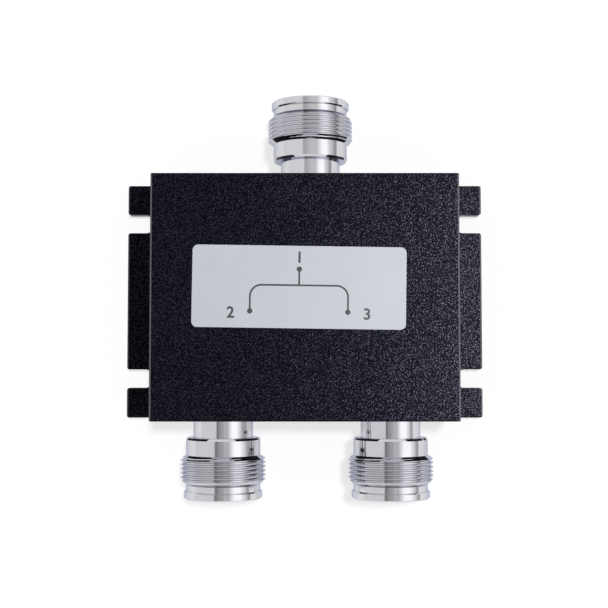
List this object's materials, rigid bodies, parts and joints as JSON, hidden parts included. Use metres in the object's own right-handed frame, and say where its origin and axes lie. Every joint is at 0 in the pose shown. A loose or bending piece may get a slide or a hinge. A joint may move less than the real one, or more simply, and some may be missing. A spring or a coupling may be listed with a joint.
{
  "type": "rf power splitter",
  "caption": "Flat black metal box with flanged sides that divides a coaxial radio signal from an input jack on one edge between output jacks on the other.",
  "frame": {"origin": "centre of the mounting plane, under the middle of the body", "axes": "+Y towards the input jack, +Z out of the labelled face, +X to the right when the face is read with the input jack at the top"},
  "size_m": [0.087, 0.0936, 0.0221],
  "materials": {
    "coated_aluminium": "matte",
    "gasket_silicone": "matte",
    "screw_steel": "satin",
    "label_film": "satin",
    "laminate": "matte",
    "copper": "satin",
    "chip_resistor": "satin",
    "plated_brass": "polished",
    "insulator_plastic": "matte",
    "contact_plating": "polished",
    "seal_rubber": "matte"
  },
  "bodies": {
    "root": {"housing": "coated_aluminium", "rear_cover": "coated_aluminium", "cover_gasket": "gasket_silicone", "cover_screws": "screw_steel", "label": "label_film", "circuit_board": "laminate", "microstrip": "copper", "isolation_resistors": "chip_resistor", "board_screws": "screw_steel", "input_shell": "plated_brass", "input_insulator": "insulator_plastic", "input_contact": "contact_plating", "input_seal": "seal_rubber", "output_left_shell": "plated_brass", "output_left_insulator": "insulator_plastic", "output_left_contact": "contact_plating", "output_left_seal": "seal_rubber", "output_right_shell": "plated_brass", "output_right_insulator": "insulator_plastic", "output_right_contact": "contact_plating", "output_right_seal": "seal_rubber"}
  },
  "joints": []
}
